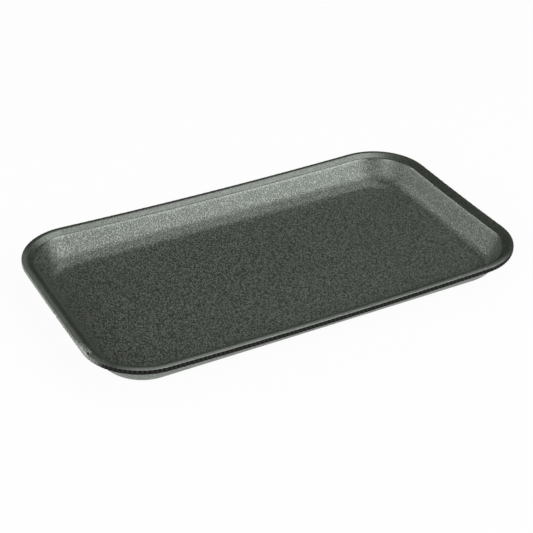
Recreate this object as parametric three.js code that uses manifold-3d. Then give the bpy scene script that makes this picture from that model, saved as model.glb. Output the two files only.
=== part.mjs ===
import * as THREE from 'three';
import { mergeVertices } from 'three/addons/utils/BufferGeometryUtils.js';
import { ConvexGeometry } from 'three/addons/geometries/ConvexGeometry.js';
import Module from 'manifold-3d';

// Foam meat tray: one thermoformed sheet of black foam, drawn into a shallow rounded well.
// Lengths are in millimetres and angles in degrees.
// The tray stands on z = 0, with its length along X and the middle of its floor on the Z axis.

// Outline of the trimmed rim
const trayLength = 210;
const trayWidth = 121;
const rimCornerRadius = 27;

// Height of the rim: lowest at the middle of each long side, bowed upward toward the corners
const rimHeight = 13.3;
const longSideBow = 1.95;
const endBow = 1.05;

// Section of the sheet, from the trimmed edge inward
const sheetThickness = 1.9;
const edgeDroop = 20;
const edgeRollRadius = 3.3;
const flangeSlope = 22;
const flangeWidth = 4.9;
const creaseRadius = 1.2;
const creaseUndersideRadius = 0.8;
const wallSlope = 57;
const floorFilletRadius = 9.5;
const floorCornerRadius = 11;

// Ribs that the trimming tool leaves on the cut edge
const ribPitch = 2;
const ribWidth = 0.9;
const ribDepth = 0.2;

// Crushed and torn nick in the left end of the rim, placed from the front edge
const nickFromFront = 22.5;
const nickLength = 12;
const nickWidth = 2.6;
const nickDrop = 1.1;
const tearLength = 3.2;
const tearWidth = 1;
const tearDepth = 1.3;
const tearFromEdge = 1;

// Fineness of the faceted surface
const cornerSteps = 12;
const longSideSteps = 8;
const endSteps = 4;
const bendStep = 11;

const halfLength = trayLength / 2;
const halfWidth = trayWidth / 2;
const radians = THREE.MathUtils.degToRad;

// Section: the sheet is drawn in a plane across the edge, where x is the inset from the
// trimmed edge and y the height. Each stretch of it is a line that falls inward by its slope.

function slopedLine(x, y, slope) {
  return { point: new THREE.Vector2(x, y), slope: radians(slope) };
}

function direction(line) {
  return new THREE.Vector2(Math.cos(line.slope), -Math.sin(line.slope));
}

// The same line on the sheet's other face
function underside(line) {
  const toUnderside = new THREE.Vector2(-Math.sin(line.slope), -Math.cos(line.slope));
  const point = line.point.clone().addScaledVector(toUnderside, sheetThickness);
  return { point, slope: line.slope };
}

function meet(first, second) {
  const along = direction(first);
  const across = direction(second);
  const gap = second.point.clone().sub(first.point);
  return first.point.clone().addScaledVector(along, gap.cross(across) / along.cross(across));
}

// Points of the arc that joins two lines
function bend(first, second, radius) {
  const turn = second.slope - first.slope;
  const corner = meet(first, second);
  const start = corner.clone().addScaledVector(direction(first), -radius * Math.tan(Math.abs(turn) / 2));
  const steps = Math.max(2, Math.ceil(Math.abs(turn) / radians(bendStep)));
  const side = Math.sign(turn);
  const points = [];
  for (let step = 0; step <= steps; step += 1) {
    const slope = first.slope + (turn * step) / steps;
    points.push(new THREE.Vector2(
      start.x + side * radius * (Math.sin(slope) - Math.sin(first.slope)),
      start.y + side * radius * (Math.cos(slope) - Math.cos(first.slope)),
    ));
  }
  return points;
}

const rollTangent = edgeRollRadius * Math.tan(radians(edgeDroop + flangeSlope) / 2);
const rollPeak = new THREE.Vector2(
  rollTangent * Math.cos(radians(edgeDroop)),
  rimHeight + rollTangent * Math.sin(radians(edgeDroop)),
);
const creaseHeight = rollPeak.y - (flangeWidth - rollPeak.x) * Math.tan(radians(flangeSlope));

const topLines = [
  slopedLine(0, rimHeight, -edgeDroop),
  slopedLine(flangeWidth, creaseHeight, flangeSlope),
  slopedLine(flangeWidth, creaseHeight, wallSlope),
  slopedLine(0, sheetThickness, 0),
];
const bottomLines = topLines.map(underside);
const cutHeight = sheetThickness / Math.cos(radians(edgeDroop));

function sectionPath(lines, radii) {
  return radii.flatMap((radius, index) => bend(lines[index], lines[index + 1], radius));
}

const rollInnerRadius = Math.max(edgeRollRadius - sheetThickness, creaseUndersideRadius);
const topPath = sectionPath(topLines, [edgeRollRadius, creaseRadius, floorFilletRadius]);
const bottomPath = sectionPath(bottomLines, [
  rollInnerRadius,
  creaseUndersideRadius,
  floorFilletRadius + sheetThickness,
]);
const floorInset = topPath[topPath.length - 1].x;

// Outline: a rounded rectangle whose corners tighten from the rim's radius to the floor's.

function cornerRadiusAt(inset) {
  return rimCornerRadius + ((floorCornerRadius - rimCornerRadius) * inset) / floorInset;
}

// The eight stretches of the outline, anticlockwise from the middle of the right end's corner
const quarters = [
  { x: 1, y: 1, start: 0, sideSteps: longSideSteps },
  { x: -1, y: 1, start: 90, sideSteps: endSteps },
  { x: -1, y: -1, start: 180, sideSteps: longSideSteps },
  { x: 1, y: -1, start: 270, sideSteps: endSteps },
];

function cornerPoint(quarter, angle, inset) {
  const radius = cornerRadiusAt(inset);
  return new THREE.Vector2(
    quarter.x * (halfLength - inset - radius) + radius * Math.cos(radians(angle)),
    quarter.y * (halfWidth - inset - radius) + radius * Math.sin(radians(angle)),
  );
}

// A station names a place round the outline: in a corner by its angle, or part way to the next
function stationPoint(station, inset) {
  const quarter = quarters[station.quarter];
  if (station.side === 0) return cornerPoint(quarter, station.angle, inset);
  const next = quarters[(station.quarter + 1) % quarters.length];
  const from = cornerPoint(quarter, quarter.start + 90, inset);
  const to = cornerPoint(next, next.start, inset);
  return from.lerp(to, station.side);
}

const cornerLength = (Math.PI / 2) * rimCornerRadius;
const sideLengths = quarters.map((quarter, index) => (
  index % 2 === 0 ? trayLength - 2 * rimCornerRadius : trayWidth - 2 * rimCornerRadius
));
const perimeter = sideLengths.reduce((sum, length) => sum + length + cornerLength, 0);

// Stations of the smooth faces, each with its distance along the rim
function faceStations() {
  const stations = [];
  let travelled = 0;
  quarters.forEach((quarter, index) => {
    for (let step = 0; step < cornerSteps; step += 1) {
      const share = step / cornerSteps;
      const angle = quarter.start + 90 * share;
      stations.push({ quarter: index, angle, side: 0, travelled: travelled + share * cornerLength });
    }
    travelled += cornerLength;
    for (let step = 0; step < quarter.sideSteps; step += 1) {
      const share = step / quarter.sideSteps;
      const angle = quarter.start + 90;
      stations.push({ quarter: index, angle, side: share, travelled: travelled + share * sideLengths[index] });
    }
    travelled += sideLengths[index];
  });
  return stations;
}

// The station at a distance along the rim
function stationAt(travelled) {
  let rest = travelled;
  for (let index = 0; index < quarters.length; index += 1) {
    const start = quarters[index].start;
    if (rest < cornerLength) {
      return { quarter: index, angle: start + (90 * rest) / cornerLength, side: 0, travelled };
    }
    rest -= cornerLength;
    if (rest < sideLengths[index]) {
      return { quarter: index, angle: start + 90, side: rest / sideLengths[index], travelled };
    }
    rest -= sideLengths[index];
  }
  return { quarter: 0, angle: 0, side: 0, travelled };
}

// Each rib rises from the groove floor to a crest and back: three stations a rib
function ribStations() {
  const count = Math.round(perimeter / ribPitch);
  const pitch = perimeter / count;
  const stations = [];
  for (let rib = 0; rib < count; rib += 1) {
    const middle = (rib + 0.5) * pitch;
    stations.push({ ...stationAt(middle - ribWidth / 2), inset: ribDepth });
    stations.push({ ...stationAt(middle), inset: 0 });
    stations.push({ ...stationAt(middle + ribWidth / 2), inset: ribDepth });
  }
  return stations;
}

// The rim's bow fades down the wall and leaves the floor flat
function bowAt(point, height) {
  const bow = longSideBow * (point.x / halfLength) ** 2 + endBow * (point.y / halfWidth) ** 2 - endBow;
  const rise = THREE.MathUtils.clamp((height - sheetThickness) / (creaseHeight - sheetThickness), 0, 1);
  return bow * rise;
}

// Shell: rings of points are stitched into one closed surface.

const positions = [];
const triangles = [];

function addPoint(plan, height) {
  positions.push(plan.x, plan.y, height);
  return positions.length / 3 - 1;
}

function addRing(stations, sectionPoint) {
  return stations.map((station) => {
    const plan = stationPoint(station, sectionPoint.x);
    const index = addPoint(plan, sectionPoint.y + bowAt(plan, sectionPoint.y));
    return { index, travelled: station.travelled };
  });
}

function addRibRing(stations, height) {
  return stations.map((station) => {
    const plan = stationPoint(station, station.inset);
    return { index: addPoint(plan, height + bowAt(plan, rimHeight)), travelled: station.travelled };
  });
}

// Joins two rings with any number of points each, always stepping the one that lags behind
function stitch(outer, inner, facingUp) {
  let a = 0;
  let b = 0;
  const lap = (ring, step) => (
    ring[step % ring.length].travelled + (step >= ring.length ? perimeter : 0)
  );
  while (a < outer.length || b < inner.length) {
    const from = outer[a % outer.length].index;
    const to = inner[b % inner.length].index;
    const outerSteps = b >= inner.length || (a < outer.length && lap(outer, a + 1) <= lap(inner, b + 1));
    const third = outerSteps ? outer[(a + 1) % outer.length].index : inner[(b + 1) % inner.length].index;
    triangles.push(...(facingUp ? [from, third, to] : [from, to, third]));
    if (outerSteps) a += 1;
    else b += 1;
  }
}

function closeFloor(ring, height, facingUp) {
  const middle = addPoint(new THREE.Vector2(0, 0), height);
  ring.forEach((point, index) => {
    const next = ring[(index + 1) % ring.length].index;
    triangles.push(...(facingUp ? [point.index, next, middle] : [next, point.index, middle]));
  });
}

function buildShell() {
  const stations = faceStations();
  const ribs = ribStations();
  const cutTop = addRibRing(ribs, rimHeight);
  const cutBottom = addRibRing(ribs, rimHeight - cutHeight);
  stitch(cutBottom, cutTop, true);

  let outer = cutTop;
  topPath.slice(1).forEach((sectionPoint) => {
    const inner = addRing(stations, sectionPoint);
    stitch(outer, inner, true);
    outer = inner;
  });
  closeFloor(outer, sheetThickness, true);

  outer = cutBottom;
  bottomPath.forEach((sectionPoint) => {
    const inner = addRing(stations, sectionPoint);
    stitch(outer, inner, false);
    outer = inner;
  });
  closeFloor(outer, 0, false);
}

// Nick: a slanting crush that takes the rim's upper corner, and the torn pit behind it.

function nickPoint(inset, along, drop) {
  const end = -halfWidth + nickFromFront;
  const y = end + nickLength - along;
  const plan = new THREE.Vector2(-halfLength + inset, y);
  return new THREE.Vector3(plan.x, plan.y, rimHeight + bowAt(plan, rimHeight) - drop);
}

function crushCutter() {
  const clear = new THREE.Vector3(-nickWidth, 0, nickWidth);
  const facet = [
    nickPoint(0, 0, 0),
    nickPoint(nickWidth, nickLength, 0),
    nickPoint(0, nickLength, nickDrop),
  ];
  return new ConvexGeometry([...facet, ...facet.map((point) => point.clone().add(clear))]);
}

function tearCutter() {
  const middle = tearFromEdge + tearWidth / 2;
  const points = [
    nickPoint(middle, nickLength - 0.35 * tearLength, tearDepth),
    nickPoint(middle, nickLength - 0.65 * tearLength, tearDepth),
  ];
  for (const along of [nickLength - tearLength, nickLength]) {
    for (const side of [-tearWidth, tearWidth]) {
      points.push(nickPoint(middle + side / 2, along, -tearDepth));
    }
  }
  return new ConvexGeometry(points);
}

// Solids and meshes

const wasm = await Module();
wasm.setup();

function toSolid(source) {
  const bare = source.clone();
  bare.deleteAttribute('normal');
  bare.deleteAttribute('uv');
  const merged = bare.index ? bare : mergeVertices(bare, 1e-5);
  return new wasm.Manifold(new wasm.Mesh({
    numProp: 3,
    vertProperties: new Float32Array(merged.attributes.position.array),
    triVerts: new Uint32Array(merged.index.array),
  }));
}

function toGeometry(solid) {
  const mesh = solid.getMesh();
  const geometry = new THREE.BufferGeometry();
  geometry.setAttribute('position', new THREE.BufferAttribute(mesh.vertProperties, 3));
  geometry.setIndex(new THREE.BufferAttribute(mesh.triVerts, 1));
  geometry.computeVertexNormals();
  return geometry;
}

function shellGeometry() {
  buildShell();
  const geometry = new THREE.BufferGeometry();
  geometry.setAttribute('position', new THREE.Float32BufferAttribute(positions, 3));
  geometry.setIndex(triangles);
  return geometry;
}

const blackFoam = new THREE.MeshStandardMaterial({ color: 0x2e302d, roughness: 0.55, metalness: 0 });
const nickedShell = toSolid(shellGeometry())
  .subtract(toSolid(crushCutter()))
  .subtract(toSolid(tearCutter()));
const foamTray = new THREE.Mesh(toGeometry(nickedShell), blackFoam);
foamTray.name = 'foam_tray';

const tray = new THREE.Group();
tray.add(foamTray);

export default tray;
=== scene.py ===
import math

import bpy
from bpy.props import FloatProperty, FloatVectorProperty, PointerProperty
from mathutils import Matrix, Vector


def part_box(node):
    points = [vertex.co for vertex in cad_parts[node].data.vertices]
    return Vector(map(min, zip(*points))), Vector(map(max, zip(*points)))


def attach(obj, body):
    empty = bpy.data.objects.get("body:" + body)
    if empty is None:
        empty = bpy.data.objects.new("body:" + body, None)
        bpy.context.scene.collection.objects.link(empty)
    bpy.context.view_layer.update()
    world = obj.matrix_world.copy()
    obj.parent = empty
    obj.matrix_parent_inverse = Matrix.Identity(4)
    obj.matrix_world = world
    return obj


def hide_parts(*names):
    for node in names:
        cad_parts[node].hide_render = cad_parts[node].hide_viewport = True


bl_info = {
    "name": "Foam Tray",
    "version": (1, 0, 0),
    "blender": (4, 5, 0),
    "location": "3D View > Sidebar > Foam Tray",
    "description": "Dresses a thermoformed foam meat tray with its smooth skin, its ribbed cut edge "
                   "and its foam finish",
    "category": "Object",
}

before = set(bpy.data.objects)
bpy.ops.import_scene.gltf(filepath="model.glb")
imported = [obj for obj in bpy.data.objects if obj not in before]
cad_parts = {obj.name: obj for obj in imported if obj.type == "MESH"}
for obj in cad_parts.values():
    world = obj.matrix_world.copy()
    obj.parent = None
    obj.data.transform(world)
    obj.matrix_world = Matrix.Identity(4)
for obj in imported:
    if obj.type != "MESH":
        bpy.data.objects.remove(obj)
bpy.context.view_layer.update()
NODE = "foam_tray"
BODY = "root"
MM = 0.001

LOW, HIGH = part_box(NODE)


def length_property(label, note, millimetres):
    """A length setting, given in millimetres and kept in metres"""
    return FloatProperty(name=label, description=note, default=millimetres * MM,
                         unit="LENGTH", precision=5)


def angle_property(label, note, degrees):
    """An angle setting, given in degrees"""
    return FloatProperty(name=label, description=note, default=math.radians(degrees), subtype="ANGLE")


def factor_property(label, note, value):
    """A plain number that is not below zero"""
    return FloatProperty(name=label, description=note, default=value, min=0.0)


def colour_property(label, note, value):
    """A colour setting, given as plain light levels"""
    return FloatVectorProperty(name=label, description=note, default=value, subtype="COLOR",
                               size=3, min=0.0, max=1.0)


class TraySizes(bpy.types.PropertyGroup):
    """Sizes of the formed sheet"""

    length: length_property("Length", "Rim to rim along X", (HIGH[0] - LOW[0]) / MM)
    width: length_property("Width", "Rim to rim along Y", (HIGH[1] - LOW[1]) / MM)
    rim_corner: length_property("Rim corner", "Corner radius of the trimmed rim", 27.0)
    floor_corner: length_property("Floor corner", "Corner radius at the flat floor", 11.0)
    rim_height: length_property("Rim height", "Top of the cut edge at the middle of a long side", 13.29)
    long_side_bow: length_property("Long side bow", "Rise of the rim from mid-side to its end", 1.95)
    end_bow: length_property("End bow", "Rise of the rim from the middle of an end", 1.05)
    sheet: length_property("Sheet", "Thickness of the foam", 1.9)
    edge_droop: angle_property("Edge droop", "Slope at which the rolled edge ends", 20.0)
    edge_roll: length_property("Edge roll", "Radius of the rolled outer edge", 3.3)
    flange_slope: angle_property("Flange slope", "Slope of the flange", 22.0)
    flange_width: length_property("Flange width", "From the cut edge to the crease", 4.9)
    crease: length_property("Crease", "Radius between flange and wall", 1.2)
    crease_underside: length_property("Crease underside", "Radius under the crease", 0.8)
    wall_slope: angle_property("Wall slope", "Slope of the walls", 57.0)
    floor_fillet: length_property("Floor fillet", "Radius between wall and floor", 9.5)


class RibSizes(bpy.types.PropertyGroup):
    """Sizes of the upright ribs on the cut edge"""

    pitch: length_property("Pitch", "Distance from rib to rib", 2.0)
    width: length_property("Width", "Width of a rib at its foot", 0.95)
    depth: length_property("Depth", "Depth of the grooves between the ribs", 0.22)


class NickSizes(bpy.types.PropertyGroup):
    """Sizes of the crushed and torn nick and of the small chip"""

    from_front: length_property("From front", "From the front edge to the nick's end", 22.5)
    length: length_property("Length", "Along the rim", 12.0)
    width: length_property("Width", "Reach of the crush onto the flange", 2.6)
    drop: length_property("Drop", "Depth of the crush at the edge", 1.1)
    tear_length: length_property("Tear length", "Length of the torn pit", 3.2)
    tear_width: length_property("Tear width", "Width of the torn pit", 1.0)
    tear_depth: length_property("Tear depth", "Depth of the torn pit", 1.3)
    tear_from_edge: length_property("Tear from edge", "From the cut edge to the pit", 1.0)
    lip: length_property("Lip", "Height of the lifted lip beside the pit", 0.3)
    chip_from_middle: length_property("Chip place", "From the middle of the end toward the front", 2.6)
    chip_width: length_property("Chip width", "Width of the chip in the cut edge", 0.9)
    chip_depth: length_property("Chip depth", "Depth of the chip", 0.6)


class FoamFinish(bpy.types.PropertyGroup):
    """Colours and grain of the black foam"""

    # Skin: its colour in the pits is painted shade; between the pits it is the foam's own tone
    skin: colour_property("Skin", "Colour of the skin in its pits", (0.001, 0.003, 0.001))
    skin_pale: colour_property("Pale skin", "Colour of the skin between its pits", (0.103, 0.114, 0.094))
    cut: colour_property("Cut", "Colour of the cut edge in its grooves", (0.004, 0.004, 0.004))
    cut_crest: colour_property("Cut crest", "Colour of the rubbed ribs", (0.030, 0.033, 0.029))
    # Painted light: the left end of the cut edge is painted paler where light falls on it
    cut_painted_light: colour_property("Worn cut", "Colour of the cut edge at the worn end", (0.43, 0.46, 0.41))
    # Pale colour of the crushed nick, and also of the painted highlight on the rolled edge and the
    # painted reflection on the outer face
    scuffed_and_painted_light: colour_property("Scuffed", "Colour of the foam where it was rubbed or crushed",
                             (0.229, 0.255, 0.225))
    roughness: factor_property("Roughness", "Roughness of the smooth rim", 0.29)
    well_roughness: factor_property("Well roughness", "Roughness of the skin inside the well", 0.44)
    rim_shade: factor_property("Rim shade", "How much darker the rim is than the well", 0.35)
    cell: length_property("Cell", "Distance between the pits in the skin", 0.7)
    cell_depth: length_property("Cell depth", "Depth of the grain", 0.06)
    pit_width: factor_property("Pit width", "Reach of a pit as a share of the distance", 0.75)
    ripple: length_property("Ripple", "Size of the slow unevenness", 14.0)
    ripple_depth: length_property("Ripple depth", "Depth of the slow unevenness", 0.05)


class StageSettings(bpy.types.PropertyGroup):
    """Camera, floor and lamps"""

    azimuth: angle_property("Azimuth", "Camera turned about Z from looking along +Y", -28.594)
    elevation: angle_property("Elevation", "Camera height as an angle", 32.817)
    roll: angle_property("Roll", "Camera turned about its own axis", 0.612)
    distance: length_property("Distance", "Camera to aim point", 626.08)
    lens: FloatProperty(name="Lens", description="Focal length in millimetres on a 36 mm frame",
                        default=92.92)
    aim: FloatVectorProperty(name="Aim", description="Point at the middle of the picture",
                             default=(-3.14 * MM, -2.45 * MM, 6.54 * MM), unit="LENGTH", size=3)
    floor_size: length_property("Floor size", "Side of the pale floor", 4000.0)
    key_power: factor_property("Key power", "Watts of the main light in front", 11.20)
    high_key_power: factor_property("High key power", "Watts of the light above the main one", 2.24)
    left_power: factor_property("Left power", "Watts of the light at the left", 7.84)
    low_back_power: factor_property("Low back power", "Watts of the low light behind the left end", 3.50)
    back_power: factor_property("Back power", "Watts of the light above that one", 3.08)
    top_power: factor_property("Top power", "Watts of the light over the right end", 2.73)
    world: factor_property("World", "Strength of the even surrounding light", 0.02)


class FoamTraySettings(bpy.types.PropertyGroup):
    """All settings of the foam tray"""

    sizes: PointerProperty(type=TraySizes)
    ribs: PointerProperty(type=RibSizes)
    nick: PointerProperty(type=NickSizes)
    finish: PointerProperty(type=FoamFinish)
    stage: PointerProperty(type=StageSettings)


# The section is drawn across the edge: x is the inset from the cut edge and y the height

ROLL_STEP = math.radians(4.0)
FINE_STEP = 0.4 * MM
WALL_STEPS = 8


class SlopedLine:
    """A straight stretch of the section that falls inward by its slope"""

    def __init__(self, inset, height, slope):
        self.point = Vector((inset, height))
        self.slope = slope
        self.along = Vector((math.cos(slope), -math.sin(slope)))

    def underside(self, sheet):
        down = Vector((-math.sin(self.slope), -math.cos(self.slope)))
        point = self.point + down * sheet
        return SlopedLine(point.x, point.y, self.slope)

    def meet(self, other):
        gap = other.point - self.point
        turn = self.along.cross(other.along)
        return self.point + self.along * (gap.cross(other.along) / turn)


def bend(first, second, radius):
    """Points of the arc that joins two stretches"""
    turn = second.slope - first.slope
    start = first.meet(second) - first.along * (radius * math.tan(abs(turn) / 2))
    side = math.copysign(radius, turn)
    steps = max(2, math.ceil(abs(turn) / ROLL_STEP))
    points = []
    for step in range(steps + 1):
        slope = first.slope + turn * step / steps
        points.append(start + Vector((
            side * (math.sin(slope) - math.sin(first.slope)),
            side * (math.cos(slope) - math.cos(first.slope)),
        )))
    return points


def spread(start, end, steps):
    """Points between two others, without them"""
    return [start.lerp(end, step / steps) for step in range(1, steps)]


def section_path(lines, radii):
    """The stretches and bends of one face of the sheet, from the edge to the floor"""
    arcs = [bend(lines[index], lines[index + 1], radius) for index, radius in enumerate(radii)]
    path = list(arcs[0])
    for arc, fine in zip(arcs[1:], (True, False)):
        gap = (arc[0] - path[-1]).length
        steps = max(2, round(gap / FINE_STEP)) if fine else WALL_STEPS
        path += spread(path[-1], arc[0], steps) + arc
    return path


class TrayForm:
    """The rounded rectangle, its bowed rim and the section that runs round it"""

    def __init__(self, sizes):
        self.sizes = sizes
        self.half_length = sizes.length / 2
        self.half_width = sizes.width / 2
        tangent = sizes.edge_roll * math.tan((sizes.edge_droop + sizes.flange_slope) / 2)
        peak = Vector((tangent * math.cos(sizes.edge_droop),
                       sizes.rim_height + tangent * math.sin(sizes.edge_droop)))
        self.crease_height = peak.y - (sizes.flange_width - peak.x) * math.tan(sizes.flange_slope)
        lines = [
            SlopedLine(0.0, sizes.rim_height, -sizes.edge_droop),
            SlopedLine(sizes.flange_width, self.crease_height, sizes.flange_slope),
            SlopedLine(sizes.flange_width, self.crease_height, sizes.wall_slope),
            SlopedLine(0.0, sizes.sheet, 0.0),
        ]
        roll_inner = max(sizes.edge_roll - sizes.sheet, sizes.crease_underside)
        self.top = section_path(lines, (sizes.edge_roll, sizes.crease, sizes.floor_fillet))
        self.bottom = section_path([line.underside(sizes.sheet) for line in lines],
                                   (roll_inner, sizes.crease_underside,
                                    sizes.floor_fillet + sizes.sheet))
        self.cut_height = sizes.sheet / math.cos(sizes.edge_droop)
        self.floor_inset = self.top[-1].x
        self.corner_run = math.pi / 2 * sizes.rim_corner
        self.long_run = sizes.length - 2 * sizes.rim_corner
        self.end_run = sizes.width - 2 * sizes.rim_corner
        self.perimeter = 4 * self.corner_run + 2 * self.long_run + 2 * self.end_run

    def corner_radius(self, inset):
        share = inset / self.floor_inset
        return self.sizes.rim_corner + (self.sizes.floor_corner - self.sizes.rim_corner) * share

    def corner_point(self, quarter, share, inset):
        """A point of one corner, with the way out from it"""
        radius = self.corner_radius(inset)
        angle = (quarter + share) * math.pi / 2
        out = Vector((math.cos(angle), math.sin(angle)))
        x_side = (1, -1, -1, 1)[quarter]
        y_side = (1, 1, -1, -1)[quarter]
        centre = Vector((x_side * (self.half_length - inset - radius),
                         y_side * (self.half_width - inset - radius)))
        return centre + out * radius, out

    def place(self, run, inset):
        """The plan point at a distance along the rim and an inset from it, with its way out"""
        rest = run % self.perimeter
        for quarter in range(4):
            if rest <= self.corner_run:
                return self.corner_point(quarter, rest / self.corner_run, inset)
            rest -= self.corner_run
            side = self.end_run if quarter % 2 else self.long_run
            if rest < side:
                start, out = self.corner_point(quarter, 1.0, inset)
                end, _ = self.corner_point((quarter + 1) % 4, 0.0, inset)
                return start.lerp(end, rest / side), out
            rest -= side
        return self.corner_point(0, 0.0, inset)

    def bow(self, plan, height):
        """How far the bowed rim lifts a point; it fades down the wall"""
        rise = (self.sizes.long_side_bow * (plan.x / self.half_length) ** 2
                + self.sizes.end_bow * (plan.y / self.half_width) ** 2 - self.sizes.end_bow)
        share = (height - self.sizes.sheet) / (self.crease_height - self.sizes.sheet)
        return rise * min(max(share, 0.0), 1.0)

    def end_run_at(self, y):
        """Distance along the rim of a place on the left end"""
        start = 2 * self.corner_run + self.long_run
        straight = self.half_width - self.sizes.rim_corner - y
        if straight <= self.end_run:
            return start + straight
        angle = math.asin(min(1.0, (straight - self.end_run) / self.sizes.rim_corner))
        return start + self.end_run + angle * self.sizes.rim_corner


def smooth(low, high, value):
    """From 0 at the low value to 1 at the high one, with soft ends"""
    share = min(max((value - low) / (high - low), 0.0), 1.0)
    return share * share * (3 - 2 * share)


CRUSH_END = 0.6 * MM
CRUSH_LAST = 0.5 * MM
# Share, radians for each millimetre of rim and phase of the jags in the inner edge
CRUSH_JAGS = ((0.12, 2.9, 0.0), (0.08, 6.1, 1.0))
TEAR_SLANT = 0.25 * MM
TEAR_BRINK = (0.55, 1.15)
LIP_INSET = 0.55 * MM
LIP_BREADTH = 0.5 * MM
LIP_RAGGED = 0.3
LIP_RATE = 5.3
PALED = 0.75


class NickForm:
    """The crush, the torn pit with its lifted lip, and the small chip"""

    def __init__(self, nick, form):
        self.nick = nick
        self.end = form.end_run_at(-form.half_width + nick.from_front)
        self.start = self.end - nick.length
        self.chip = form.end_run_at(-nick.chip_from_middle)

    def crush(self, run, inset):
        along = run - self.start
        nick = self.nick
        if along <= 0 or along >= nick.length + CRUSH_END:
            return 0.0
        jag = sum(deep * math.sin(along / MM * rate + phase) for deep, rate, phase in CRUSH_JAGS)
        reach = nick.width * (0.15 + 0.85 * smooth(0.1, 0.5, along / nick.length)) * (1 + jag)
        rise = smooth(0.0, 0.35, along / nick.length)
        stop = 1 - smooth(nick.length - CRUSH_LAST, nick.length + CRUSH_END, along)
        return nick.drop * rise * stop * max(0.0, 1 - inset / reach)

    def tear(self, run, inset):
        nick = self.nick
        along = (run - self.end + 0.5 * nick.tear_length) / (0.5 * nick.tear_length)
        middle = nick.tear_from_edge + 0.5 * nick.tear_width - TEAR_SLANT * along
        across = (inset - middle) / (0.5 * nick.tear_width)
        return nick.tear_depth * (1 - smooth(*TEAR_BRINK, math.hypot(along, across)))

    def lip(self, run, inset):
        nick = self.nick
        along = (run - self.end + 0.75 * nick.tear_length) / (0.8 * nick.tear_length)
        across = (inset - nick.tear_from_edge - nick.tear_width - LIP_INSET) / LIP_BREADTH
        ragged = 0.7 + LIP_RAGGED * math.sin(run / MM * LIP_RATE)
        return nick.lip * ragged * math.exp(-along ** 4 - across ** 2)

    def top_shift(self, run, inset):
        return self.lip(run, inset) - max(self.crush(run, inset), self.tear(run, inset))

    def scuff(self, run, inset):
        """How far the crushed and lifted foam has paled"""
        pale = self.crush(run, inset) / (0.35 * self.nick.drop) + self.lip(run, inset) / self.nick.lip
        torn = self.tear(run, inset) / (0.4 * self.nick.tear_depth)
        return PALED * min(max(pale - torn, 0.0), 1.0)

    def chip_shift(self, run):
        across = (run - self.chip) / (0.5 * self.nick.chip_width)
        return self.nick.chip_depth * math.exp(-across ** 4)


# Painted highlight on the rolled edge, pale colour put where light falls: how squarely it faces the
# front or the left, how far in it reaches, and where it weakens along X
BAND_FRONT = (0.55, 0.98)
BAND_LEFT = (0.7, 0.98)
BAND_LEFT_SHARE = 0.5
BAND_RIGHT_CORNER = 0.3
BAND_INSET = (1.3 * MM, 3.4 * MM)
BAND_WEAKENS = (-40 * MM, 20 * MM)
BAND_WEAKER = 0.3
# Painted reflection: the outer face of the sheet is painted paler where it mirrors the white floor
OUTER_PAINTED_REFLECTION = 0.55
# Painted light: how squarely the cut edge must face left to be painted paler
PAINTED_LIGHT_CUT = (0.85, 0.99)
END_WALL = (0.4, 0.9)
END_WALL_FADE = 4 * MM
WELL_BORDER = (0.2 * MM, MM)
FLOOR_RINGS = 10


def rubbed(plan, out, inset):
    """How far a place on the rolled edge takes the painted highlight, pale colour standing in for light
    """
    front = smooth(*BAND_FRONT, -out.y - BAND_RIGHT_CORNER * max(out.x, 0.0))
    painted_light = max(front, BAND_LEFT_SHARE * smooth(*BAND_LEFT, -out.x))
    painted_light *= 1 - smooth(*BAND_INSET, inset)
    return painted_light * (1 - BAND_WEAKER * smooth(*BAND_WEAKENS, plan.x))


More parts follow.
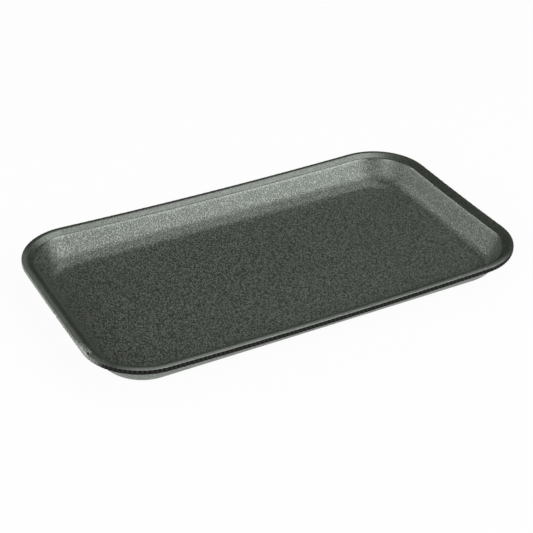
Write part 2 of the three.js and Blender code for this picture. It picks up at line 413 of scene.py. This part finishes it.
class ShellMesh:
    """Rings of points, stitched into one closed shell"""

    def __init__(self, form, nick):
        self.form = form
        self.nick = nick
        self.points = []
        self.faces = []
        self.runs = []
        self.outs = []
        self.cut = []
        self.end_wall = []
        self.scuff = []
        self.well = []

    def add(self, plan, height, run, out, cut, end_wall=0.0, scuff=0.0, well=1.0):
        self.points.append((plan.x, plan.y, height))
        self.runs.append(run)
        self.outs.append((out.x, out.y, 0.0))
        self.cut.append(cut)
        self.end_wall.append(end_wall)
        self.scuff.append(scuff)
        self.well.append(well)
        return len(self.points) - 1

    def ring(self, runs, section, top):
        """A ring of one face of the sheet"""
        inset = section.x
        floor = self.form.floor_inset
        wall = 1 - smooth(floor - END_WALL_FADE, floor, inset)
        flange = self.form.sizes.flange_width
        well = smooth(flange - WELL_BORDER[0], flange + WELL_BORDER[1], inset) if top else 1.0
        made = []
        for run in runs:
            plan, out = self.form.place(run, inset)
            height = section.y + self.form.bow(plan, section.y)
            # Painted reflection on the outer face
            scuff = OUTER_PAINTED_REFLECTION
            if top:
                height += self.nick.top_shift(run, inset)
                # Painted highlight on the rolled edge, or the real paling of the crushed nick
                scuff = max(rubbed(plan, out, inset), self.nick.scuff(run, inset))
            end_wall = wall * smooth(*END_WALL, abs(out.x))
            made.append((self.add(plan, height, run, out, 0.0, end_wall, scuff, well), run))
        return made

    def cut_ring(self, runs, share):
        """A ring of the cut edge, from its foot (0) to its top (1)"""
        made = []
        for run in runs:
            plan, out = self.form.place(run, 0.0)
            top = self.form.sizes.rim_height + self.form.bow(plan, self.form.sizes.rim_height)
            full = self.form.cut_height - self.nick.crush(run, 0.0)
            height = top - self.form.cut_height + full * share
            plan = plan - out * self.nick.chip_shift(run)
            # Painted light on the cut edge at the left end
            scuff = smooth(*PAINTED_LIGHT_CUT, -out.x)
            made.append((self.add(plan, height, run, out, 1.0, 0.0, scuff), run))
        return made

    def stitch(self, outer, inner, upward):
        """Joins two rings of any number of points, always stepping the one that lags"""
        lap = self.form.perimeter
        a = 0
        b = 0
        while a < len(outer) or b < len(inner):
            here = outer[a % len(outer)][0]
            there = inner[b % len(inner)][0]
            next_a = outer[(a + 1) % len(outer)]
            next_b = inner[(b + 1) % len(inner)]
            run_a = next_a[1] + (lap if a + 1 >= len(outer) else 0.0)
            run_b = next_b[1] + (lap if b + 1 >= len(inner) else 0.0)
            outer_steps = b >= len(inner) or (a < len(outer) and run_a <= run_b)
            third = next_a[0] if outer_steps else next_b[0]
            self.faces.append((here, third, there) if upward else (here, there, third))
            if outer_steps:
                a += 1
            else:
                b += 1

    def quads(self, outer, inner, upward):
        """Joins two rings of the same places with four-sided faces"""
        count = len(outer)
        for index in range(count):
            after = (index + 1) % count
            corners = (outer[index][0], outer[after][0], inner[after][0], inner[index][0])
            self.faces.append(corners if upward else corners[::-1])

    def floor(self, edge, height, upward):
        """Rings that shrink to the middle of the flat floor"""
        # Painted reflection on the underside of the floor
        scuff = 0.0 if upward else OUTER_PAINTED_REFLECTION
        outer = edge
        for step in range(1, FLOOR_RINGS):
            share = 1 - step / FLOOR_RINGS
            inner = []
            for index, run in edge:
                x, y, _ = self.points[index]
                plan = Vector((x * share, y * share))
                point = self.add(plan, height, run, Vector((1.0, 0.0)), 0.0, 0.0, scuff)
                inner.append((point, run))
            self.quads(outer, inner, upward)
            outer = inner
        middle = self.add(Vector((0.0, 0.0)), height, 0.0, Vector((1.0, 0.0)), 0.0, 0.0, scuff)
        for index, (point, _) in enumerate(outer):
            after = outer[(index + 1) % len(outer)][0]
            self.faces.append((point, after, middle) if upward else (after, point, middle))

    def cover(self, outer, runs, sections, height, upward):
        """One face of the sheet, from the cut edge to the middle of the floor"""
        join = self.stitch
        for section in sections:
            inner = self.ring(runs, section, upward)
            join(outer, inner, upward)
            join = self.quads
            outer = inner
        self.floor(outer, height, upward)


CORNER_COLUMNS = 36
SIDE_STEP = 4.0 * MM
NICK_STEP = 0.3 * MM
NICK_MARGIN = 1.5 * MM
RIB_COLUMNS = 8
CUT_ROWS = 5


def face_runs(form, nick):
    """Where the columns of the smooth faces stand, closer together at the nick"""
    runs = []
    travelled = 0.0
    for quarter in range(4):
        runs += [travelled + form.corner_run * step / CORNER_COLUMNS for step in range(CORNER_COLUMNS)]
        travelled += form.corner_run
        side = form.end_run if quarter % 2 else form.long_run
        steps = round(side / SIDE_STEP)
        runs += [travelled + side * step / steps for step in range(steps)]
        travelled += side
    low = nick.start - NICK_MARGIN
    high = nick.end + NICK_MARGIN
    steps = round((high - low) / NICK_STEP)
    runs = [run for run in runs if not low - NICK_STEP < run < high + NICK_STEP]
    runs += [low + (high - low) * step / steps for step in range(steps + 1)]
    return sorted(runs)


def build_shell(settings):
    """The closed mesh of the tray, its cut edge still plain"""
    form = TrayForm(settings.sizes)
    nick = NickForm(settings.nick, form)
    shell = ShellMesh(form, nick)
    runs = face_runs(form, nick)
    ribs = round(form.perimeter / settings.ribs.pitch)
    cut_columns = ribs * RIB_COLUMNS
    cut_runs = [form.perimeter * step / cut_columns for step in range(cut_columns)]

    rows = [shell.cut_ring(cut_runs, row / CUT_ROWS) for row in range(CUT_ROWS + 1)]
    for low, high in zip(rows, rows[1:]):
        shell.quads(low, high, True)

    shell.cover(rows[-1], runs, form.top[1:], form.sizes.sheet, True)
    shell.cover(rows[0], runs, form.bottom, 0.0, False)
    return shell, form.perimeter / ribs


def add_point_values(mesh, name, kind, key, values):
    """Writes one value for each point of the mesh"""
    layer = mesh.attributes.new(name, kind, "POINT")
    layer.data.foreach_set(key, values)


class Socket:
    """A node's output, with the operators that shader and geometry maths need"""

    def __init__(self, tree, link):
        self.tree = tree
        self.link = link

    def _maths(self, operation, *values, clamp=False):
        return self.tree.node("ShaderNodeMath", *values, operation=operation, use_clamp=clamp)

    def __add__(self, other):
        return self._maths("ADD", self, other)

    def __radd__(self, other):
        return self._maths("ADD", other, self)

    def __sub__(self, other):
        return self._maths("SUBTRACT", self, other)

    def __rsub__(self, other):
        return self._maths("SUBTRACT", other, self)

    def __mul__(self, other):
        return self._maths("MULTIPLY", self, other)

    def __rmul__(self, other):
        return self._maths("MULTIPLY", other, self)

    def __truediv__(self, other):
        return self._maths("DIVIDE", self, other)

    def __abs__(self):
        return self._maths("ABSOLUTE", self)

    def part(self):
        return self._maths("FRACT", self)

    def clamped(self):
        return self._maths("ADD", self, 0.0, clamp=True)


class Tree:
    """Adds nodes to a node tree"""

    def __init__(self, tree):
        self.tree = tree

    def feed(self, made, key, value):
        """Links or sets one input of a node"""
        if isinstance(value, Socket):
            self.tree.links.new(value.link, made.inputs[key])
        else:
            made.inputs[key].default_value = value

    def node(self, kind, *values, output=0, inputs=None, **settings):
        """One node: its settings first, then its sockets in order or by name"""
        made = self.tree.nodes.new(kind)
        for name, value in settings.items():
            setattr(made, name, value)
        wanted = dict(enumerate(values))
        wanted.update(inputs or {})
        for key, value in wanted.items():
            self.feed(made, key, value)
        return Socket(self, made.outputs[output])

    def bump(self, height):
        """The normal of a relief in metres"""
        return self.node("ShaderNodeBump",
                         inputs={"Strength": 1.0, "Distance": 1.0, "Height": height})

    def blend(self, share, low, high):
        """A colour between two others"""
        made = self.tree.nodes.new("ShaderNodeMix")
        made.data_type = "RGBA"
        for index, value in ((0, share), (6, low), (7, high)):
            self.feed(made, index, value)
        return Socket(self, made.outputs[2])


def paint(colour):
    """A colour with full cover, as a shader's colour socket takes it"""
    return (*colour, 1.0)


def new_material(name, **constants):
    """A material with one shader, whose plain values are set on the shader's own sockets"""
    material = bpy.data.materials.new(name)
    material.use_nodes = True
    tree = material.node_tree
    tree.nodes.clear()
    shader = tree.nodes.new("ShaderNodeBsdfPrincipled")
    out = tree.nodes.new("ShaderNodeOutputMaterial")
    tree.links.new(shader.outputs[0], out.inputs[0])
    for key, value in constants.items():
        shader.inputs[key.replace("_", " ").title().replace("Ior", "IOR")].default_value = value
    return material, Tree(tree), shader


# Index of refraction and tint of the skin's gloss
SKIN_INDEX = 1.62
SKIN_TINT = (0.92, 1.0, 0.92, 1.0)
# The grain is drawn out down the long walls, or down the end walls
DRAWN_ON_SIDES = (1.0, 0.6, 0.6)
DRAWN_ON_ENDS = (0.6, 1.0, 0.6)
# Waves of each noise in the width of a foam cell
GRAIN_WAVES = 1.45
MOTTLE_WAVES = 0.3
CUT_WAVES = 2.6
# How much the fine grain and the pits make of the height, and its middle
GRAIN_SHARE = 2.8
PIT_SHARE = 0.6
GRAIN_MIDDLE = 0.62
# Contrast and relief of the grain on the rim, and what the well adds
RIM_CONTRAST = 0.6
WELL_CONTRAST = 2.4
RIM_RELIEF = 0.4
WELL_RELIEF = 0.6
# What the mottle and the grain do to the colour, to the scuffs with their painted highlight and painted
# reflection, and to the gloss
MOTTLE_IN_COLOUR = 0.15
SCUFF_AND_LIGHT_COVER = 0.55
SCUFF_AND_LIGHT_GRAIN = 0.4
MOTTLE_IN_GLOSS = 0.04
GRAIN_IN_GLOSS = 0.1
# Cut edge: paleness of a crest and of the painted light at the left end, and how far the open cells
# darken them
CREST_PALE = 1.25
CREST_CELLS = 0.9
PAINTED_LIGHT_CREST = 0.5
PAINTED_LIGHT_PALE = 0.6
PAINTED_LIGHT_CELLS = 0.3
CUT_RELIEF = 0.8


def grain(tree, place, finish, stretch):
    """Height of the pits and fine grain of pressed foam cells, drawn out along one way"""
    drawn = tree.node("ShaderNodeMapping", place, inputs={"Scale": stretch})
    cells = tree.node("ShaderNodeTexVoronoi", inputs={"Vector": drawn, "Scale": 1.0 / finish.cell})
    fine = tree.node("ShaderNodeTexNoise", inputs={"Vector": drawn, "Scale": GRAIN_WAVES / finish.cell,
                                                   "Detail": 1.0, "Roughness": 0.6})
    pit = (1.0 - cells / finish.pit_width).clamped()
    return (fine - 0.5) * GRAIN_SHARE - pit * PIT_SHARE + GRAIN_MIDDLE


def skin_material(finish):
    """Pressed foam skin: black, softly glossy, finely pitted and mottled; the pits are darkened in colour
    as painted shade
    """
    material, tree, shader = new_material("black_foam_skin", ior=SKIN_INDEX,
                                          specular_ior_level=1.0, specular_tint=SKIN_TINT)
    place = tree.node("ShaderNodeTexCoord", output=3)
    end_wall = tree.node("ShaderNodeAttribute", output=2, attribute_name="end_wall")
    sides = grain(tree, place, finish, DRAWN_ON_SIDES)
    ends = grain(tree, place, finish, DRAWN_ON_ENDS)
    height = (sides * (1.0 - end_wall) + ends * end_wall).clamped()
    mottle = tree.node("ShaderNodeTexNoise", inputs={"Vector": place,
                                                     "Scale": MOTTLE_WAVES / finish.cell,
                                                     "Detail": 3.0, "Roughness": 0.6})
    slow = tree.node("ShaderNodeTexNoise", inputs={"Vector": place, "Scale": 1.0 / finish.ripple,
                                                   "Detail": 1.0})
    well = tree.node("ShaderNodeAttribute", output=2, attribute_name="well")
    shade = 1.0 - (1.0 - well) * finish.rim_shade
    grained = (height - 0.5) * (well * WELL_CONTRAST + RIM_CONTRAST) + 0.5
    # The grain's own tone and mottle set the colour; the darkening in the pits is painted shade
    pale = ((mottle - 0.5) * MOTTLE_IN_COLOUR + grained).clamped() * shade
    # Pale colour: real paling at the nick, painted highlight on the rolled edge and painted reflection on
    # the outer face
    scuff = tree.node("ShaderNodeAttribute", output=2, attribute_name="scuff")
    skin = tree.blend(pale, paint(finish.skin), paint(finish.skin_pale))
    cover = scuff * (SCUFF_AND_LIGHT_COVER + height * SCUFF_AND_LIGHT_GRAIN)
    colour = tree.blend(cover, skin, paint(finish.scuffed_and_painted_light))
    base = well * (finish.well_roughness - finish.roughness) + finish.roughness
    roughness = (mottle - 0.5) * MOTTLE_IN_GLOSS - (height - 0.5) * GRAIN_IN_GLOSS + base
    grain_relief = height * (well * WELL_RELIEF + RIM_RELIEF) * finish.cell_depth
    relief = grain_relief + slow * finish.ripple_depth
    tree.feed(shader, "Base Color", colour)
    tree.feed(shader, "Roughness", roughness)
    tree.feed(shader, "Normal", tree.bump(relief))
    return material


def cut_material(finish):
    """Cut foam: open cells, dull and near black, rubbed paler on the crests of the ribs, and painted
    paler at the left end as painted light
    """
    material, tree, shader = new_material("black_foam_cut", specular_ior_level=0.15, roughness=0.7)
    place = tree.node("ShaderNodeTexCoord", output=3)
    crest = tree.node("ShaderNodeAttribute", output=2, attribute_name="crest")
    cells = tree.node("ShaderNodeTexVoronoi", inputs={"Vector": place, "Scale": CUT_WAVES / finish.cell})
    pale = (crest * (CREST_PALE - cells * CREST_CELLS)).clamped()
    scuff = tree.node("ShaderNodeAttribute", output=2, attribute_name="scuff")
    fresh = tree.blend(pale, paint(finish.cut), paint(finish.cut_crest))
    # Painted light: the left end of the cut edge is painted paler
    painted_light = scuff * (crest * PAINTED_LIGHT_CREST + PAINTED_LIGHT_PALE - cells * PAINTED_LIGHT_CELLS).clamped()
    colour = tree.blend(painted_light, fresh, paint(finish.cut_painted_light))
    tree.feed(shader, "Base Color", colour)
    tree.feed(shader, "Normal", tree.bump(cells * (CUT_RELIEF * finish.cell_depth)))
    return material


# Points with more than this share of cut face belong to the cut edge
CUT_ONLY = 0.99


def rib_tree():
    """Geometry nodes that press the grooves between the ribs into the cut edge"""
    group = bpy.data.node_groups.new("Cut edge ribs", "GeometryNodeTree")
    face = group.interface
    face.new_socket("Geometry", in_out="INPUT", socket_type="NodeSocketGeometry")
    for name in ("Pitch", "Width", "Depth"):
        face.new_socket(name, in_out="INPUT", socket_type="NodeSocketFloat")
    for name in ("Skin", "Cut"):
        face.new_socket(name, in_out="INPUT", socket_type="NodeSocketMaterial")
    face.new_socket("Geometry", in_out="OUTPUT", socket_type="NodeSocketGeometry")
    tree = Tree(group)
    entry = group.nodes.new("NodeGroupInput")
    given = {socket.name: Socket(tree, socket) for socket in entry.outputs if socket.name}

    run = tree.node("GeometryNodeInputNamedAttribute", "rim_run")
    cut = tree.node("GeometryNodeInputNamedAttribute", "cut_face")
    out = tree.node("GeometryNodeInputNamedAttribute", "way_out", data_type="FLOAT_VECTOR")
    from_middle = abs((run / given["Pitch"]).part() - 0.5) * given["Pitch"]
    ramp = (1.0 - from_middle / (given["Width"] * 0.5)).clamped()
    crest = ramp * ramp * (3.0 - 2.0 * ramp)
    press = (1.0 - crest) * given["Depth"] * cut * -1.0
    offset = tree.node("ShaderNodeVectorMath", out, operation="SCALE", inputs={"Scale": press})
    moved = tree.node("GeometryNodeSetPosition", inputs={"Geometry": given["Geometry"], "Offset": offset})
    kept = tree.node("GeometryNodeStoreNamedAttribute",
                     inputs={"Geometry": moved, "Name": "crest", "Value": crest * cut})
    real = tree.node("GeometryNodeRealizeInstances", kept)
    skinned = tree.node("GeometryNodeSetMaterial", inputs={"Geometry": real, "Material": given["Skin"]})
    selected = tree.node("FunctionNodeCompare", cut, CUT_ONLY, operation="GREATER_THAN")
    finished = tree.node("GeometryNodeSetMaterial",
                         inputs={"Geometry": skinned, "Selection": selected, "Material": given["Cut"]})
    leave = group.nodes.new("NodeGroupOutput")
    group.links.new(finished.link, leave.inputs[0])
    return group


def with_nodes(piece, group, **values):
    """The piece after a geometry nodes tree with the given named inputs, as a plain mesh"""
    modifier = piece.modifiers.new(group.name, "NODES")
    modifier.node_group = group
    for item in group.interface.items_tree:
        if item.item_type == "SOCKET" and item.in_out == "INPUT" and item.name in values:
            modifier[item.identifier] = values[item.name]
    graph = bpy.context.evaluated_depsgraph_get()
    mesh = bpy.data.meshes.new_from_object(piece.evaluated_get(graph), preserve_all_data_layers=True,
                                           depsgraph=graph)
    piece.modifiers.remove(modifier)
    piece.data = mesh


def settings_of(context):
    """The tray's settings in the scene"""
    return context.scene.foam_tray


class FOAMTRAY_OT_form_sheet(bpy.types.Operator):
    """Form the closed sheet of the tray, with its rolled rim, well and nick"""

    bl_idname = "foam_tray.form_sheet"
    bl_label = "Form the sheet"

    def execute(self, context):
        shell, pitch = build_shell(settings_of(context))
        mesh = bpy.data.meshes.new("formed_sheet")
        mesh.from_pydata(shell.points, [], shell.faces)
        for name, values in (("rim_run", shell.runs), ("cut_face", shell.cut),
                             ("end_wall", shell.end_wall), ("scuff", shell.scuff),
                             ("well", shell.well)):
            add_point_values(mesh, name, "FLOAT", "value", values)
        add_point_values(mesh, "way_out", "FLOAT_VECTOR", "vector",
                         [value for out in shell.outs for value in out])
        mesh.shade_smooth()
        piece = bpy.data.objects.new("formed_sheet", mesh)
        piece["rib_pitch"] = pitch
        context.collection.objects.link(piece)
        return {"FINISHED"}


SHARP_ANGLE = math.radians(50)


class FOAMTRAY_OT_rib_and_finish(bpy.types.Operator):
    """Press the ribs into the cut edge, finish the foam and put the sheet in the model's place"""

    bl_idname = "foam_tray.rib_and_finish"
    bl_label = "Rib and finish the sheet"

    def execute(self, context):
        settings = settings_of(context)
        piece = bpy.data.objects.get("formed_sheet")
        if piece is None:
            raise RuntimeError("the sheet has not been formed yet")
        with_nodes(piece, rib_tree(), Pitch=piece["rib_pitch"], Width=settings.ribs.width,
                   Depth=settings.ribs.depth, Skin=skin_material(settings.finish),
                   Cut=cut_material(settings.finish))
        mesh = piece.data
        mesh.name = "formed_sheet"
        mesh.set_sharp_from_angle(angle=SHARP_ANGLE)
        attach(piece, BODY)
        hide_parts(NODE)
        return {"FINISHED"}


SENSOR_WIDTH = 36.0
SEEN_FROM = 0.01
SEEN_TO = 20.0


def camera_axes(stage):
    """The camera's right, up and backward directions"""
    back = Vector((math.sin(stage.azimuth) * math.cos(stage.elevation),
                   -math.cos(stage.azimuth) * math.cos(stage.elevation),
                   math.sin(stage.elevation)))
    level = Vector((0.0, 0.0, 1.0)).cross(back).normalized()
    upright = back.cross(level)
    right = level * math.cos(stage.roll) + upright * math.sin(stage.roll)
    return right, back.cross(right), back


def add_camera(context, stage):
    """The camera at the photograph's angle"""
    right, up, back = camera_axes(stage)
    camera = bpy.data.objects.new("camera", bpy.data.cameras.new("camera"))
    camera.data.lens = stage.lens
    camera.data.sensor_width = SENSOR_WIDTH
    camera.data.clip_start = SEEN_FROM
    camera.data.clip_end = SEEN_TO
    place = Matrix((right, up, back)).transposed().to_4x4()
    place.translation = Vector(stage.aim) + back * stage.distance
    camera.matrix_world = place
    context.collection.objects.link(camera)
    context.scene.camera = camera


LAMP_DISTANCE = 1.2
# Name, power setting, azimuth, elevation and side of each softbox
LAMPS = (
    ("key_light", "key_power", 33.0, 28.0, 0.8),
    ("high_key_light", "high_key_power", 43.0, 53.0, 1.0),
    ("left_light", "left_power", 300.0, 28.0, 0.7),
    ("low_back_light", "low_back_power", 240.0, 9.0, 0.7),
    ("back_light", "back_power", 214.0, 28.0, 0.5),
    ("top_light", "top_power", 117.0, 64.0, 0.5),
)


def add_lamp(context, name, azimuth, elevation, size, power):
    """A softbox that looks at the tray; azimuth 0 is in front and 90 to the right"""
    lamp = bpy.data.lights.new(name, "AREA")
    lamp.shape = "SQUARE"
    lamp.size = size
    lamp.energy = power
    holder = bpy.data.objects.new(name, lamp)
    turn = math.radians(azimuth)
    lift = math.radians(elevation)
    away = Vector((math.sin(turn) * math.cos(lift),
                   -math.cos(turn) * math.cos(lift),
                   math.sin(lift)))
    holder.rotation_euler = away.to_track_quat("Z", "Y").to_euler()
    holder.location = away * LAMP_DISTANCE
    context.collection.objects.link(holder)


# White paint of the floor, and how much of it glows for the camera and in gloss
FLOOR_PAINT = (0.8, 0.8, 0.8, 1.0)
FLOOR_GLOW_SEEN = 0.95
FLOOR_GLOW_IN_GLOSS = 0.75
WHITE = (1.0, 1.0, 1.0, 1.0)


def floor_material():
    """White floor: it shows white to the camera and in gloss, and keeps the tray's shadow"""
    material = bpy.data.materials.new("pale_floor")
    material.use_nodes = True
    nodes = material.node_tree
    nodes.nodes.clear()
    tree = Tree(nodes)
    path = nodes.nodes.new("ShaderNodeLightPath")
    seen = Socket(tree, path.outputs["Is Camera Ray"]) * FLOOR_GLOW_SEEN
    shown = seen + Socket(tree, path.outputs["Is Glossy Ray"]) * FLOOR_GLOW_IN_GLOSS
    matte = tree.node("ShaderNodeBsdfDiffuse", FLOOR_PAINT)
    glow = tree.node("ShaderNodeEmission", WHITE, 1.0)
    mixed = tree.node("ShaderNodeMixShader", shown, matte, glow)
    out = nodes.nodes.new("ShaderNodeOutputMaterial")
    nodes.links.new(mixed.link, out.inputs[0])
    return material


def add_floor(context, stage):
    """The pale floor that the tray stands on"""
    mesh = bpy.data.meshes.new("pale_floor")
    half = stage.floor_size / 2
    corners = [(-half, -half, 0.0), (half, -half, 0.0), (half, half, 0.0), (-half, half, 0.0)]
    mesh.from_pydata(corners, [], [(0, 1, 2, 3)])
    floor = bpy.data.objects.new("pale_floor", mesh)
    mesh.materials.append(floor_material())
    context.collection.objects.link(floor)


def add_world(context, stage):
    """Even surrounding light that the camera sees as white"""
    world = bpy.data.worlds.new("surroundings")
    world.use_nodes = True
    nodes = world.node_tree
    nodes.nodes.clear()
    tree = Tree(nodes)
    path = nodes.nodes.new("ShaderNodeLightPath")
    seen = Socket(tree, path.outputs["Is Camera Ray"])
    even = tree.node("ShaderNodeBackground", WHITE, stage.world)
    white = tree.node("ShaderNodeBackground", WHITE, 1.0)
    mixed = tree.node("ShaderNodeMixShader", seen, even, white)
    out = nodes.nodes.new("ShaderNodeOutputWorld")
    nodes.links.new(mixed.link, out.inputs[0])
    context.scene.world = world


class FOAMTRAY_OT_set_stage(bpy.types.Operator):
    """Set the camera, the pale floor and the soft studio lamps"""

    bl_idname = "foam_tray.set_stage"
    bl_label = "Set the stage"

    def execute(self, context):
        stage = settings_of(context).stage
        add_camera(context, stage)
        add_floor(context, stage)
        add_world(context, stage)
        for name, power, azimuth, elevation, size in LAMPS:
            add_lamp(context, name, azimuth, elevation, size, getattr(stage, power))
        context.scene.view_settings.view_transform = "Standard"
        return {"FINISHED"}


class FOAMTRAY_PT_panel(bpy.types.Panel):
    """Steps that make the foam tray"""

    bl_label = "Foam Tray"
    bl_idname = "FOAMTRAY_PT_panel"
    bl_space_type = "VIEW_3D"
    bl_region_type = "UI"
    bl_category = "Foam Tray"

    def draw(self, context):
        for step in STEPS:
            self.layout.operator(step.bl_idname)
        settings = settings_of(context)
        for group in (settings.sizes, settings.ribs, settings.nick, settings.finish, settings.stage):
            box = self.layout.box()
            for name in group.bl_rna.properties.keys():
                if name not in ("rna_type", "name"):
                    box.prop(group, name)


STEPS = (FOAMTRAY_OT_form_sheet, FOAMTRAY_OT_rib_and_finish, FOAMTRAY_OT_set_stage)
CLASSES = (TraySizes, RibSizes, NickSizes, FoamFinish, StageSettings, FoamTraySettings,
           *STEPS, FOAMTRAY_PT_panel)


def register():
    for item in CLASSES:
        bpy.utils.register_class(item)
    bpy.types.Scene.foam_tray = PointerProperty(type=FoamTraySettings)


def unregister():
    del bpy.types.Scene.foam_tray
    for item in reversed(CLASSES):
        bpy.utils.unregister_class(item)


def main():
    """Makes the tray and its stage in order"""
    register()
    bpy.ops.foam_tray.form_sheet()
    bpy.ops.foam_tray.rib_and_finish()
    bpy.ops.foam_tray.set_stage()


if __name__ == "__main__":
    main()
